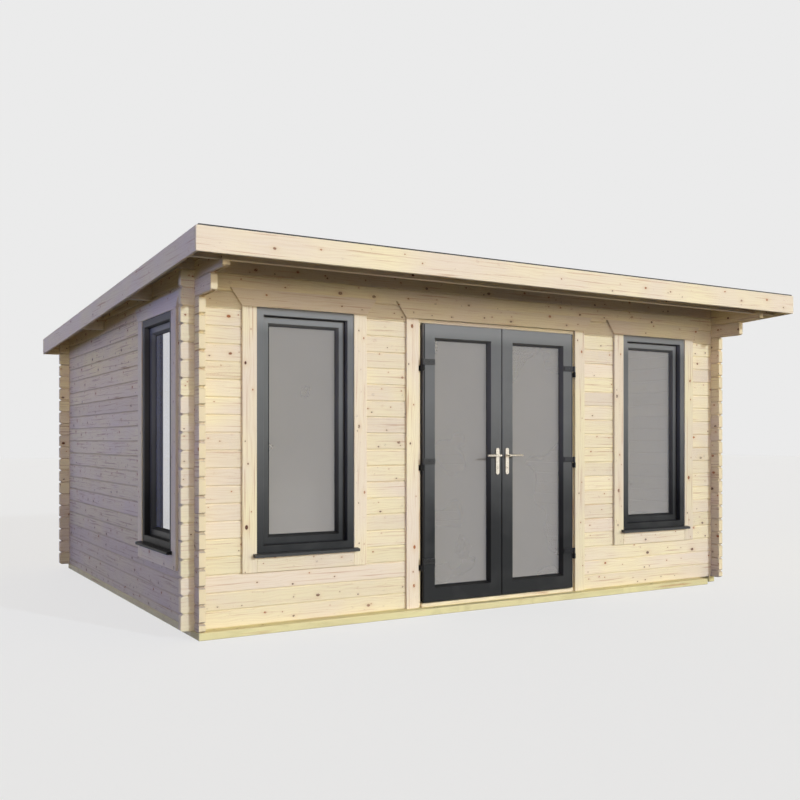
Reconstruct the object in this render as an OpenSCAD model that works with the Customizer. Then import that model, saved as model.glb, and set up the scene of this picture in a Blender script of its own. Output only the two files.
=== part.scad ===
// Garden log cabin with a single-pitch roof, glazed double doors and casement windows.
// Millimetres. Plan dimensions run from the outer face of the front and left walls.

/* [Walls] */
// Width over the outer faces of the side walls
wall_w = 4756; // [4400:1:5400]
// Depth over the outer faces of the front and back walls
wall_d = 3826; // [3000:1:4600]
// Thickness of a wall log
log_t = 44; // [36:1:58]
// Height that one log covers
log_h = 114; // [106:1:122]
// Length of log end that stands past each corner
log_end = 88; // [70:1:120]
// Size of the chamfer along the edges of a log
log_chamfer = 7; // [4:0.5:9]
// Height of the tongue on top of a log
tongue_h = 8; // [6:0.5:10]
// Width of the tongue on top of a log
tongue_w = 16; // [12:0.5:18]
// Slack round a tongue in its groove
tongue_slack = 0.5; // [0.3:0.1:1]
// Whole front courses over the course that the tallest opening reaches into
head_courses = 1; // [1:1:2]
// Height of the short top log of the front wall
front_top_log = 86; // [60:1:110]
// Length of the slanted cut at the tip of a log
tip_l = 20; // [10:1:28]
// Height of the slanted cut at the tip of a log
tip_h = 12; // [8:1:18]

/* [Base] */
// Height of the bearers
bearer_h = 48; // [40:1:70]
// Width of the side, back and inner bearers
bearer_w = 70; // [60:1:90]
// Length of the front bearer
front_bearer_l = 4572; // [4300:1:4700]
// Number of inner bearers
joist_count = 6; // [3:1:8]
// Thickness of the floor boards
floor_t = 19; // [16:1:26]
// Gap between the floor boards and the walls
floor_gap = 5; // [2:1:10]

/* [Roof] */
// Fall of the roof, in mm for each metre of depth
roof_fall = 47; // [35:1:60]
// Roof overhang in front of the front wall
overhang_front = 653; // [560:1:700]
// Roof overhang past the side walls
overhang_side = 208; // [150:1:260]
// Roof overhang behind the back wall
overhang_back = 158; // [110:1:220]
// Thickness of the roof boards
board_t = 19; // [16:1:24]
// Gap left between sloping faces that rest on each other
seat_gap = 0.3; // [0.2:0.05:0.5]
// Thickness of the roof felt
felt_t = 9; // [5:0.5:12]
// Distance from the felt's side and back edges to the outer face of the fascias
felt_set_in = 16; // [8:1:18]
// Distance from the felt's front edge to the outer face of the front fascia
felt_front_in = 4; // [2:1:16]
// Height of the fascia boards
fascia_h = 147; // [120:1:160]
// Thickness of the fascia boards
fascia_t = 20; // [16:1:28]
// Number of purlins
purlin_count = 3; // [2:1:4]
// Height of a purlin
purlin_h = 115; // [100:1:125]
// Thickness of a purlin
purlin_t = 44; // [38:1:58]
// Distance from the front wall's face to the middle of the front purlin
front_purlin_out = 454; // [380:1:500]
// Length of the upper bracket log past the front wall
upper_bracket = 515; // [505:1:545]
// Length of the lower bracket log past the front wall
lower_bracket = 305; // [240:1:360]

/* [Trim] */
// Width of the boards round the openings
trim_w = 100; // [80:1:115]
// Thickness of the boards round the openings
trim_t = 20; // [16:1:26]
// Height of the head board over an opening
head_h = 114; // [90:1:120]
// How much further the head board reaches at its top than at its foot
head_splay = 80; // [40:1:90]
// Gap between neighbouring trim boards
trim_gap = 0.6; // [0.4:0.1:2]
// Height of the apron board under a window sill
apron_drop = 114; // [90:1:114]

/* [Windows] */
// Width of a window frame
win_w = 715; // [600:1:800]
// Height of a window frame
win_h = 1610; // [1560:1:1640]
// Courses of logs under a window
sill_courses = 4; // [3:1:5]
// Thickness of the sill's tail under a window frame
sill_t = 10; // [8:1:16]
// Distance the sill's tail runs back into the wall
sill_tail = 20; // [10:1:30]
// How far a front window stands from the middle of its stretch of wall, away from the doors
win_out = 9.7; // [0:0.1:40]
// Distance from the front wall's face to the centre of the side window
side_win_y = 786; // [700:1:1500]
// Face width of the outer frame
frame_face = 50; // [44:1:60]
// Set-back of the outer frame behind the face of its trim boards
frame_set_in = 7; // [0:1:10]
// Front to back depth of the outer frame
frame_depth = 92; // [88:1:104]
// Face width of the sash
sash_face = 62; // [52:1:72]
// Set-back of the sash behind the face of the outer frame
sash_back = 40; // [30:1:42]
// Front to back depth of the sash
sash_depth = 51; // [50:1:56]
// Set-back of the glass behind the face of the sash
glass_back = 30; // [24:1:32]
// Thickness of the glass units
glass_t = 20; // [16:1:24]
// Bevel on the front edges of the frames and sashes
edge_ease = 3; // [1:0.5:5]
// Width of the sloped bead that holds the glass
bead_w = 17; // [8:1:22]
// Slack between a sash and its frame
sash_slack = 0.5; // [0.3:0.1:1.5]
// Slack between a frame and the logs round it
frame_slack = 1; // [0.5:0.1:3]
// Reach of the sill in front of the frame
sill_reach = 38; // [25:1:55]
// Reach of the sill past each side of the frame
sill_side = 26; // [15:1:36]
// Height of the sill's nose
sill_nose = 24; // [18:1:30]

/* [Doors] */
// Distance from the middle of the front wall to the middle of the doors
door_shift = 10; // [-30:1:30]
// Width of one door leaf
leaf_w = 699; // [640:1:740]
// Height of a door leaf
leaf_h = 2012; // [1950:1:2030]
// Height from the top of the bearers to the foot of a leaf
leaf_foot = 35; // [33:1:45]
// Gap between the two leaves
leaf_gap = 6; // [5:0.5:8]
// Thickness of a leaf
leaf_t = 66; // [58:1:72]
// How far the leaf's face stands in front of the wall's face
leaf_proud = 30; // [26:1:36]
// Flat part of a leaf's meeting edge, from its face
edge_flat = 10; // [6:1:14]
// How far the meeting edge leans back at the inside
edge_lean = 8; // [7:0.5:12]
// Width of the stiles and rails of a leaf
stile_w = 115; // [100:1:125]
// Set-back of the door glass behind the face of the leaf
leaf_glass_back = 38; // [32:1:42]
// Clearance round the moving leaves
leaf_clear = 6; // [5:0.5:9]
// Thickness of the doorway's timber lining
door_frame_w = 26; // [20:1:32]
// Front to back depth of the doorway's timber lining
door_frame_depth = 60; // [50:1:70]
// Height of the timber threshold
threshold_h = 27; // [22:1:27]

/* [Hinges and handles] */
// Diameter of a hinge knuckle
knuckle_d = 18; // [14:1:22]
// Height of a hinge knuckle's upper half
knuckle_h = 44; // [36:1:52]
// Overlap of a knuckle over the edge of its leaf
knuckle_lap = 4; // [2:0.5:6]
// Gap between the halves of a knuckle, and between it and the leaf
knuckle_gap = 0.5; // [0.3:0.1:1]
// Length of the hinge arm on the leaf
hinge_arm = 96; // [60:1:98]
// Height of the hinge arm
hinge_arm_h = 40; // [30:1:42]
// Thickness of the hinge arm
hinge_arm_t = 9; // [6:1:12]
// Width of the hinge plate on the frame
hinge_plate_w = 16; // [10:1:19]
// Diameter of the hinge pin
hinge_pin_d = 8; // [6:1:10]
// Slack between the hinge pin and its knuckle
pin_slack = 0.1; // [0.05:0.05:0.2]
// Height of the lowest hinge above the foot of the leaf
low_hinge = 274; // [200:1:340]
// Height of the middle hinge above the foot of the leaf
mid_hinge = 996; // [900:1:1080]
// Height of the top hinge above the foot of the leaf
top_hinge = 1714; // [1620:1:1800]
// Height of a handle plate
plate_h = 200; // [170:1:230]
// Width of a handle plate
plate_w = 30; // [26:1:36]
// Thickness of a handle plate
plate_t = 9; // [7:1:12]
// Distance from the meeting edge of a leaf to the middle of its handle
handle_in = 42; // [36:1:50]
// Height of the lever above the foot of the leaf
lever_z = 1056; // [950:1:1150]
// Distance from the lever to the top of its plate
lever_drop = 56; // [45:1:75]
// Length of a lever
lever_l = 118; // [100:1:140]
// Diameter of a lever
lever_d = 17; // [14:1:20]
// Distance from the plate to the lever
lever_out = 40; // [32:1:50]
// Diameter of the neck behind a lever
neck_d = 20; // [17:1:24]
// Slack between the neck and its plate
neck_slack = 0.1; // [0.05:0.05:0.2]

/* [Hidden] */
$fn = 48;

over = 1;                                  // how far a cut runs past the face it opens
slope = roof_fall / 1000;
roof_angle = atan(slope);
quarter = log_h / 4;
half = log_h / 2;

sill_z = bearer_h + sill_courses * log_h;
win_z = sill_z + sill_t;
door_x = wall_w / 2 + door_shift;
win_top = win_z + win_h;
leaf_z = bearer_h + leaf_foot;
leaf_top = leaf_z + leaf_h;
leaf_l0 = door_x - leaf_gap / 2 - leaf_w;
leaf_r1 = door_x + leaf_gap / 2 + leaf_w;
door_open_l = leaf_l0 - leaf_clear - door_frame_w;
door_open_r = leaf_r1 + leaf_clear + door_frame_w;
door_open_top = leaf_top + leaf_clear + door_frame_w;
// Each front window stands about half way between its corner and the trim of the doors.
door_trim_l = door_open_l - trim_gap - trim_w;
door_trim_r = door_open_r + trim_gap + trim_w;
left_win_x = door_trim_l / 2 - win_out + door_shift / 2;
right_win_x = (door_trim_r + wall_w) / 2 + win_out + door_shift / 2;

front_courses = ceil((max(win_top, door_open_top) - bearer_h) / log_h) + head_courses;
// The roof's underside is set by the whole courses of the front wall and its short top log.
under_front = bearer_h + front_courses * log_h + front_top_log;
function under(y) = under_front - slope * y;

// The part's origin is at ground level under the middle of the roof.
mid_x = wall_w / 2;
mid_y = (wall_d + overhang_back - overhang_front) / 2;
module place() translate([-mid_x, -mid_y, 0]) children();

pine = "#e9d6ae";
treated = "#d8cf92";
anthracite = "#3d4043";
glazing = [0.83, 0.83, 0.83, 0.4];
steel = "#d8d0c4";
black = "#232425";
dark_felt = "#3a3b3c";

// Walls
// Outline of a log from its underside up, with a tongue on top and a groove below.
module log_outline(h, groove, tongue) {
    mid = log_t / 2;
    top_w = tongue_w / 2;
    low_w = tongue_w / 2 + tongue_slack;
    low_h = tongue_h + tongue_slack;
    c = log_chamfer;
    below = groove ? [[mid - low_w, 0], [mid - low_w, low_h], [mid + low_w, low_h], [mid + low_w, 0]] : [];
    above = tongue ? [[mid + top_w, h], [mid + top_w, h + tongue_h],
                      [mid - top_w, h + tongue_h], [mid - top_w, h]] : [];
    polygon(concat([[c, 0]], below, [[log_t - c, 0], [log_t, c], [log_t, h - c], [log_t - c, h]],
                   above, [[c, h], [0, h - c], [0, c]]));
}

module log_along_x(x0, x1, y, z, h, groove, tongue)
    translate([x0, y, z]) rotate([90, 0, 90]) linear_extrude(x1 - x0) log_outline(h, groove, tongue);

module log_along_y(y0, y1, x, z, h, groove, tongue)
    translate([x, y1, z]) rotate([90, 0, 0]) linear_extrude(y1 - y0) log_outline(h, groove, tongue);

// Where two walls cross, front and side logs hold alternate half courses of the corner post.
// Front and back logs hold the zones that start a quarter course up; side logs hold the others.
function zone_foot(n, side) = bearer_h + quarter + n * log_h + (side ? half : 0);
module corner_zones(z0, z1, side)
    for (x = [0, wall_w - log_t], y = [0, wall_d - log_t])
        for (n = [-1 : front_courses + 1])
            let (foot = zone_foot(n, side))
                if (foot < z1 && foot + half > z0)
                    translate([x - (side ? 0 : over), y - (side ? over : 0), foot])
                        cube([log_t + (side ? 0 : 2 * over), log_t + (side ? 2 * over : 0), half]);

// V-shaped cuts at the tips of a log, over its lower and upper edges.
module tip_outline(l0, l1, z0, z1)
    for (z = [z0, z1]) {
        polygon([[l0 - over, z - tip_h], [l0, z - tip_h], [l0 + tip_l, z],
                 [l0, z + tip_h], [l0 - over, z + tip_h]]);
        polygon([[l1 + over, z - tip_h], [l1, z - tip_h], [l1 - tip_l, z],
                 [l1, z + tip_h], [l1 + over, z + tip_h]]);
    }

// Everything over the line on which the roof boards rest, up to a height over all the logs.
cut_top = under_front + 4 * log_h;
module above_roof()
    translate([-overhang_side - over, 0, 0]) rotate([90, 0, 90])
        linear_extrude(wall_w + 2 * overhang_side + 2 * over)
            polygon([[-overhang_front - over, under(-overhang_front - over) - seat_gap],
                     [wall_d + overhang_back + over, under(wall_d + overhang_back + over) - seat_gap],
                     [wall_d + overhang_back + over, cut_top], [-overhang_front - over, cut_top]]);

// Openings cut through the logs for the front windows and doors.
module front_openings() {
    for (x = [left_win_x, right_win_x])
        translate([x - win_w / 2 - frame_slack, -over, sill_z])
            cube([win_w + 2 * frame_slack, log_t + 2 * over, win_top - sill_z + frame_slack]);
    translate([door_open_l - frame_slack, -over, 0])
        cube([door_open_r - door_open_l + 2 * frame_slack, log_t + 2 * over, door_open_top + frame_slack]);
}

module side_opening()
    translate([-over, side_win_y - win_w / 2 - frame_slack, sill_z])
        cube([log_t + 2 * over, win_w + 2 * frame_slack, win_top - sill_z + frame_slack]);

// Purlin seats in the side walls.
module purlin_seats()
    for (y = purlin_ys)
        translate([-overhang_side, y - purlin_t / 2, under(y) - purlin_h])
            cube([wall_w + 2 * overhang_side, purlin_t, 2 * purlin_h]);

// One log of the front or back wall: course n, counted from 0 at the bearers.
module cross_log(n, y, courses, top_h) {
    z = bearer_h + n * log_h;
    last = n == courses;
    h = last ? top_h : log_h;
    front = y == 0;
    opening = front && z < max(win_top, door_open_top) + frame_slack;
    difference() {
        log_along_x(-log_end, wall_w + log_end, y, z, h, n > 0, !last);
        corner_zones(z, z + h + tongue_h, true);
        translate([0, y + log_t + over, 0]) rotate([90, 0, 0]) linear_extrude(log_t + 2 * over)
            tip_outline(-log_end, wall_w + log_end, z, z + h);
        if (last) above_roof();
        if (opening) front_openings();
    }
}

// The back wall has as many whole courses as fit under the roof, and a taller top log.
back_courses = floor((under(wall_d) - bearer_h) / log_h) - 1;
back_top_log = under(wall_d - log_t) - bearer_h - back_courses * log_h;

module front_logs(first)
    color(pine) place()
        for (n = [first : 2 : front_courses])
            cross_log(n, 0, front_courses, front_top_log + slope * log_t);
module front_wall_odd_logs() front_logs(1);
module front_wall_even_logs() front_logs(0);

module back_logs(first)
    color(pine) place()
        for (n = [first : 2 : back_courses])
            cross_log(n, wall_d - log_t, back_courses, back_top_log);
module back_wall_odd_logs() back_logs(1);
module back_wall_even_logs() back_logs(0);

// A side wall has a half log at its foot, so that its courses break joint with the front wall,
// then whole logs up to side_top, and a top log that tapers with the roof.
side_top = floor((under_front - bearer_h - log_h) / log_h);
function side_foot(n) = n == 0 ? bearer_h : bearer_h + half + (n - 1) * log_h;
function bracket_reach(n) = n == side_top + 1 ? upper_bracket : n == side_top ? lower_bracket : log_end;

module side_log(n, x) {
    z = side_foot(n);
    last = n == side_top + 1;
    h = n == 0 ? half : last ? under(-upper_bracket) - z : log_h;
    left = x == 0;
    near_roof = z + h + tongue_h > under(wall_d + log_end);
    difference() {
        log_along_y(-bracket_reach(n), wall_d + log_end, x, z, h, n > 0, !last);
        corner_zones(z, z + h + tongue_h, false);
        translate([x - over, 0, 0]) rotate([90, 0, 90]) linear_extrude(log_t + 2 * over)
            tip_outline(-bracket_reach(n), wall_d + log_end, z, z + h);
        if (near_roof) {
            above_roof();
            purlin_seats();
        }
        if (left && z < win_top + frame_slack && z + h + tongue_h > sill_z) side_opening();
    }
}

right_wall_x = wall_w - log_t;
module side_logs(first, x)
    color(pine) place()
        for (n = [first : 2 : side_top + 1]) side_log(n, x);
module left_wall_odd_logs() side_logs(1, 0);
module left_wall_even_logs() side_logs(0, 0);
module right_wall_odd_logs() side_logs(1, right_wall_x);
module right_wall_even_logs() side_logs(0, right_wall_x);

// Base
module bearer(x0, y0, x1, y1)
    color(treated) place() translate([x0, y0, 0]) cube([x1 - x0, y1 - y0, bearer_h]);

front_bearer_back = log_t + bearer_w / 2;
module front_bearer() bearer(0, -log_end, front_bearer_l, front_bearer_back);
module back_bearer() bearer(0, wall_d - bearer_w, wall_w, wall_d);
module left_bearer() bearer(0, front_bearer_back, bearer_w, wall_d - bearer_w);
module right_bearer()
    color(treated) place() difference() {
        translate([wall_w - bearer_w, 0, 0]) cube([bearer_w, wall_d - bearer_w, bearer_h]);
        translate([0, -log_end - over, -over])
            cube([front_bearer_l, log_end + front_bearer_back + over, bearer_h + 2 * over]);
    }

joist_pitch = (wall_w - bearer_w) / (joist_count + 1);
module floor_joists()
    for (n = [1 : joist_count])
        bearer(n * joist_pitch, front_bearer_back, n * joist_pitch + bearer_w, wall_d - bearer_w);

// The floor starts behind the lining of the doorway.
floor_w = wall_w - 2 * log_t - 2 * floor_gap;
floor_d = wall_d - log_t - door_frame_depth - 2 * floor_gap;
module floor_boards()
    color(pine) place() translate([log_t + floor_gap, door_frame_depth + floor_gap, bearer_h])
        cube([floor_w, floor_d, floor_t]);

// Roof
back_rest = wall_d - log_t / 2;
purlin_pitch = (back_rest + front_purlin_out) / purlin_count;
purlin_ys = [for (n = [0 : purlin_count - 1]) n * purlin_pitch - front_purlin_out];
roof_x0 = -overhang_side;
roof_x1 = wall_w + overhang_side;
roof_y0 = -overhang_front;
roof_y1 = wall_d + overhang_back;

// A slab that follows the roof, between two heights over the underside of the boards.
module roof_slab(x0, x1, y0, y1, low, high)
    translate([x0, 0, 0]) rotate([90, 0, 90]) linear_extrude(x1 - x0)
        polygon([[y0, under(y0) + low], [y1, under(y1) + low],
                 [y1, under(y1) + high], [y0, under(y0) + high]]);

board_rise = board_t / cos(roof_angle);
felt_foot = board_rise + seat_gap;
felt_rise = felt_t / cos(roof_angle);

module roof_purlins()
    color(pine) place() difference() {
        for (y = purlin_ys)
            translate([roof_x0 + fascia_t, y - purlin_t / 2, under(y) - purlin_h])
                cube([roof_x1 - roof_x0 - 2 * fascia_t, purlin_t, purlin_h + slope * purlin_t]);
        above_roof();
    }

module roof_boards()
    color(pine) place()
        roof_slab(roof_x0 + fascia_t, roof_x1 - fascia_t, roof_y0 + fascia_t, roof_y1 - fascia_t,
                  0, board_rise);

module roof_felt()
    color(dark_felt) place()
        roof_slab(roof_x0 + felt_set_in, roof_x1 - felt_set_in,
                  roof_y0 + felt_front_in, roof_y1 - felt_set_in, felt_foot, felt_foot + felt_rise);

fascia_low = board_rise - fascia_h;
module front_fascia()
    color(pine) place() roof_slab(roof_x0, roof_x1, roof_y0, roof_y0 + fascia_t, fascia_low, board_rise);
module back_fascia()
    color(pine) place() roof_slab(roof_x0, roof_x1, roof_y1 - fascia_t, roof_y1, fascia_low, board_rise);
module side_fascia(x)
    color(pine) place()
        roof_slab(x, x + fascia_t, roof_y0 + fascia_t, roof_y1 - fascia_t, fascia_low, board_rise);
module left_fascia() side_fascia(roof_x0);
module right_fascia() side_fascia(roof_x1 - fascia_t);

// Windows, each drawn on the front wall about its own centre line, with y 0 on the wall's outer face
// A block w by h whose four sides all follow one list of [inset, depth] points, from front to back.
module tapered_block(w, h, sides) {
    far = [for (n = [len(sides) - 1 : -1 : 0]) sides[n]];
    intersection() {
        linear_extrude(h)
            polygon(concat([for (s = sides) [s[0] - w / 2, s[1]]], [for (s = far) [w / 2 - s[0], s[1]]]));
        translate([-w / 2, 0, 0]) rotate([90, 0, 90]) linear_extrude(w)
            polygon(concat([for (s = sides) [s[1], s[0]]], [for (s = far) [s[1], h - s[0]]]));
    }
}

// A frame with mitred sections: its outer sides, less the sides of its opening.
module ring_frame(w, h, outer, inner)
    difference() {
        tapered_block(w, h, outer);
        tapered_block(w, h, inner);
    }

// Outer sides with the front edge eased, and an opening that is eased or has a sloped bead down to the glass.
function eased_sides(depth) = [[edge_ease, 0], [0, edge_ease], [0, depth]];
function eased_opening(face, depth) = [[face - edge_ease, -over], [face - edge_ease, 0], [face, edge_ease],
                                       [face, depth + over]];
function bead_opening(face, depth, glass) = [[face - bead_w, -over], [face - bead_w, 0], [face, glass],
                                             [face, depth + over]];

frame_y = frame_set_in - trim_t;
module window_frame()
    color(anthracite) translate([0, frame_y, win_z])
        ring_frame(win_w, win_h, eased_sides(frame_depth), eased_opening(frame_face, frame_depth));

sash_w = win_w - 2 * frame_face - 2 * sash_slack;
sash_h = win_h - 2 * frame_face - 2 * sash_slack;
sash_y = frame_y + sash_back;
sash_z = win_z + frame_face + sash_slack;
module window_sash()
    color(anthracite) translate([0, sash_y, sash_z])
        ring_frame(sash_w, sash_h, eased_sides(sash_depth), bead_opening(sash_face, sash_depth, glass_back));

pane_slack = sash_slack;
pane_in = sash_face + pane_slack;
module window_glass()
    color(glazing) translate([pane_in - sash_w / 2, sash_y + glass_back, sash_z + pane_in])
        cube([sash_w - 2 * pane_in, glass_t, sash_h - 2 * pane_in]);

// The sill's nose hangs in front of the trim boards and its tail runs back under the frame.
nose_fall = sill_nose / 4;
module window_sill()
    color(anthracite) {
        translate([-win_w / 2 - sill_side, -trim_t, win_z]) rotate([90, 0, 90])
            linear_extrude(win_w + 2 * sill_side)
                polygon([[0, 0], [-sill_reach, -nose_fall], [-sill_reach, -sill_nose], [0, -sill_nose]]);
        translate([-win_w / 2, -trim_t - over, sill_z]) cube([win_w, trim_t + over + sill_tail, sill_t]);
    }

// Boards round an opening: head, jambs and, on a window, an apron between the jambs.
module trim_boards(open_w, foot, head_foot, apron_top) {
    jamb = open_w / 2 + trim_gap;
    outer = jamb + trim_w;
    rotate([90, 0, 0]) linear_extrude(trim_t) {
        polygon([[-outer, head_foot + trim_gap], [outer, head_foot + trim_gap],
                 [outer + head_splay, head_foot + head_h], [-outer - head_splay, head_foot + head_h]]);
        for (side = [-1, 1]) translate([side > 0 ? jamb : -outer, foot]) square([trim_w, head_foot - foot]);
        if (apron_top > 0)
            translate([-jamb + trim_gap, foot]) square([2 * jamb - 2 * trim_gap, apron_top - foot]);
    }
}

module window_trim() color(pine) trim_boards(win_w, sill_z - apron_drop, win_top, sill_z - trim_gap);

// Where the windows stand: on the front wall, or turned onto the left wall.
module on_left() place() translate([left_win_x, 0, 0]) children();
module on_right() place() translate([right_win_x, 0, 0]) children();
module on_side() place() translate([0, side_win_y, 0]) rotate([0, 0, -90]) children();

module left_window_frame() on_left() window_frame();
module left_window_sash() on_left() window_sash();
module left_window_glass() on_left() window_glass();
module left_window_sill() on_left() window_sill();
module left_window_trim() on_left() window_trim();
module right_window_frame() on_right() window_frame();
module right_window_sash() on_right() window_sash();
module right_window_glass() on_right() window_glass();
module right_window_sill() on_right() window_sill();
module right_window_trim() on_right() window_trim();
module side_window_frame() on_side() window_frame();
module side_window_sash() on_side() window_sash();
module side_window_glass() on_side() window_glass();
module side_window_sill() on_side() window_sill();
module side_window_trim() on_side() window_trim();

// Doors
// The doorway's lining is two jambs and a head that rests on them.
door_open_w = door_open_r - door_open_l;
head_z = leaf_top + leaf_clear;
module door_frame()
    color(pine) place() {
        for (x = [door_open_l, door_open_r - door_frame_w])
            translate([x, 0, bearer_h]) cube([door_frame_w, door_frame_depth, head_z - trim_gap - bearer_h]);
        translate([door_open_l, 0, head_z]) cube([door_open_w, door_frame_depth, door_frame_w]);
    }

module door_threshold()
    color(pine) place() translate([door_open_l + door_frame_w, -trim_t, bearer_h])
        cube([door_open_w - 2 * door_frame_w, trim_t + door_frame_depth, threshold_h]);

module door_trim()
    color(pine) place() translate([door_x, 0, 0]) trim_boards(door_open_w, bearer_h, door_open_top, 0);

// One leaf drawn from its hinge edge at x 0 towards its meeting edge, face at y 0, foot at z 0.
// Its edges lean back, so that each leaf swings clear of the other.
leaf_sides = [[edge_ease, 0], [0, edge_ease], [0, edge_flat], [edge_lean, leaf_t]];
module leaf()
    color(anthracite) translate([leaf_w / 2, 0, 0])
        ring_frame(leaf_w, leaf_h, leaf_sides, bead_opening(stile_w, leaf_t, leaf_glass_back));

leaf_pane_in = stile_w + pane_slack;
module leaf_glass()
    color(glazing) translate([leaf_pane_in, leaf_glass_back, leaf_pane_in])
        cube([leaf_w - 2 * leaf_pane_in, glass_t, leaf_h - 2 * leaf_pane_in]);

// Flag hinges: the knuckle's upper half and arm are on the leaf, the lower half and pin on the frame.
hinge_heights = [low_hinge, mid_hinge, top_hinge];
hinge_x = knuckle_lap - knuckle_d / 2;
hinge_y = -knuckle_d / 2 - knuckle_gap;
module leaf_hinges()
    color(black) for (z = hinge_heights) translate([0, 0, z]) difference() {
        union() {
            translate([hinge_x, hinge_y, knuckle_gap]) cylinder(d = knuckle_d, h = knuckle_h - knuckle_gap);
            translate([hinge_x, -hinge_arm_t, (knuckle_h - hinge_arm_h) / 2])
                cube([hinge_arm - hinge_x, hinge_arm_t, hinge_arm_h]);
        }
        translate([hinge_x, hinge_y, -over])
            cylinder(d = hinge_pin_d + 2 * pin_slack, h = knuckle_h / 2 + over);
    }

module hinge_posts()
    color(black) for (z = hinge_heights) translate([0, 0, z]) {
        translate([hinge_x, hinge_y, -knuckle_h]) cylinder(d = knuckle_d, h = knuckle_h);
        translate([hinge_x, hinge_y, -over]) cylinder(d = hinge_pin_d, h = knuckle_h / 2);
        translate([-leaf_clear - hinge_plate_w, hinge_y, -knuckle_h])
            cube([hinge_plate_w, leaf_proud - hinge_y, knuckle_h - knuckle_lap]);
    }

handle_x = leaf_w - handle_in;
// Each plate has half-round ends about the heights plate_foot and plate_top.
plate_top = lever_z + lever_drop - plate_w / 2;
plate_foot = plate_top - plate_h + plate_w;
module handle_plates()
    color(steel) for (y = [-plate_t, leaf_t])
        difference() {
            union() {
                translate([handle_x - plate_w / 2, y, plate_foot])
                    cube([plate_w, plate_t, plate_top - plate_foot]);
                for (z = [plate_foot, plate_top])
                    translate([handle_x, y, z]) rotate([-90, 0, 0]) cylinder(d = plate_w, h = plate_t);
            }
            translate([handle_x, y - over, lever_z]) rotate([-90, 0, 0])
                cylinder(d = neck_d + 2 * neck_slack, h = plate_t + 2 * over);
        }

module door_lever()
    color(steel) for (face = [-1, 1]) {
        near = face < 0 ? -plate_t - lever_out : leaf_t + plate_t + lever_out;
        translate([handle_x, face < 0 ? near : leaf_t + neck_slack, lever_z]) rotate([-90, 0, 0])
            cylinder(d = neck_d, h = plate_t + lever_out - neck_slack);
        translate([handle_x, near, lever_z]) rotate([0, -90, 0]) cylinder(d = lever_d, h = lever_l);
        translate([handle_x, near, lever_z]) sphere(d = neck_d);
    }

// Where the leaves stand: the right leaf is the left one mirrored about the middle of the doors.
module on_left_leaf() place() translate([leaf_l0, -leaf_proud, leaf_z]) children();
module on_right_leaf() place() translate([leaf_r1, -leaf_proud, leaf_z]) mirror([1, 0, 0]) children();

module door_hinge_posts() {
    on_left_leaf() hinge_posts();
    on_right_leaf() hinge_posts();
}
module left_door_leaf() on_left_leaf() leaf();
module left_door_glass() on_left_leaf() leaf_glass();
module left_door_hinges() on_left_leaf() leaf_hinges();
module left_door_plates() on_left_leaf() handle_plates();
module left_door_lever() on_left_leaf() door_lever();
module right_door_leaf() on_right_leaf() leaf();
module right_door_glass() on_right_leaf() leaf_glass();
module right_door_hinges() on_right_leaf() leaf_hinges();
module right_door_plates() on_right_leaf() handle_plates();
module right_door_lever() on_right_leaf() door_lever();

front_bearer();
back_bearer();
left_bearer();
right_bearer();
floor_joists();
floor_boards();
front_wall_odd_logs();
front_wall_even_logs();
back_wall_odd_logs();
back_wall_even_logs();
left_wall_odd_logs();
left_wall_even_logs();
right_wall_odd_logs();
right_wall_even_logs();
roof_purlins();
roof_boards();
roof_felt();
front_fascia();
back_fascia();
left_fascia();
right_fascia();
left_window_frame();
left_window_sash();
left_window_glass();
left_window_sill();
left_window_trim();
right_window_frame();
right_window_sash();
right_window_glass();
right_window_sill();
right_window_trim();
side_window_frame();
side_window_sash();
side_window_glass();
side_window_sill();
side_window_trim();
door_frame();
door_threshold();
door_trim();
door_hinge_posts();
left_door_leaf();
left_door_glass();
left_door_hinges();
left_door_plates();
left_door_lever();
right_door_leaf();
right_door_glass();
right_door_hinges();
right_door_plates();
right_door_lever();
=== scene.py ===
import math
import random

import bmesh
import bpy
from mathutils import Matrix, Vector


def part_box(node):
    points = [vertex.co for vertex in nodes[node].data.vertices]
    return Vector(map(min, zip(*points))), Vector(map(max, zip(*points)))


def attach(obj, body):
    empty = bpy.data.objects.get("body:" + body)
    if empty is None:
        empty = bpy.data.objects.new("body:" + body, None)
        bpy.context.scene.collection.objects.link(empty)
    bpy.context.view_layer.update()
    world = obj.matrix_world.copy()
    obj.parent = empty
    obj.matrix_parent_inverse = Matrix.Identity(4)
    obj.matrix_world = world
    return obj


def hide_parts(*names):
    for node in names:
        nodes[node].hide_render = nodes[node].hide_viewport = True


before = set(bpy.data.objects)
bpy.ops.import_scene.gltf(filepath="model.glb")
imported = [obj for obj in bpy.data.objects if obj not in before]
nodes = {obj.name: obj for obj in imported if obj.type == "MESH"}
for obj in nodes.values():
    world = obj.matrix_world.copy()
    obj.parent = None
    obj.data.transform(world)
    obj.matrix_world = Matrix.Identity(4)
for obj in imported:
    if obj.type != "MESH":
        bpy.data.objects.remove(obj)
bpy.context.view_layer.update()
print("frame loaded,", len(nodes), "nodes")


# Small helpers for shader trees
def putIn(tree, socket, value):
    if isinstance(value, bpy.types.NodeSocket):
        tree.links.new(value, socket)
    else:
        socket.default_value = value


def calc(tree, operation, first, second=0.0, clamp=False):
    node = tree.nodes.new("ShaderNodeMath")
    node.operation = operation
    node.use_clamp = clamp
    putIn(tree, node.inputs[0], first)
    putIn(tree, node.inputs[1], second)
    return node.outputs[0]


def scaled(tree, value, factor, shift=None):
    product = calc(tree, "MULTIPLY", value, factor)
    return product if shift is None else calc(tree, "ADD", product, shift)


def wave(tree, phase):
    return scaled(tree, calc(tree, "SINE", phase), 0.5, 0.5)


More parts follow.
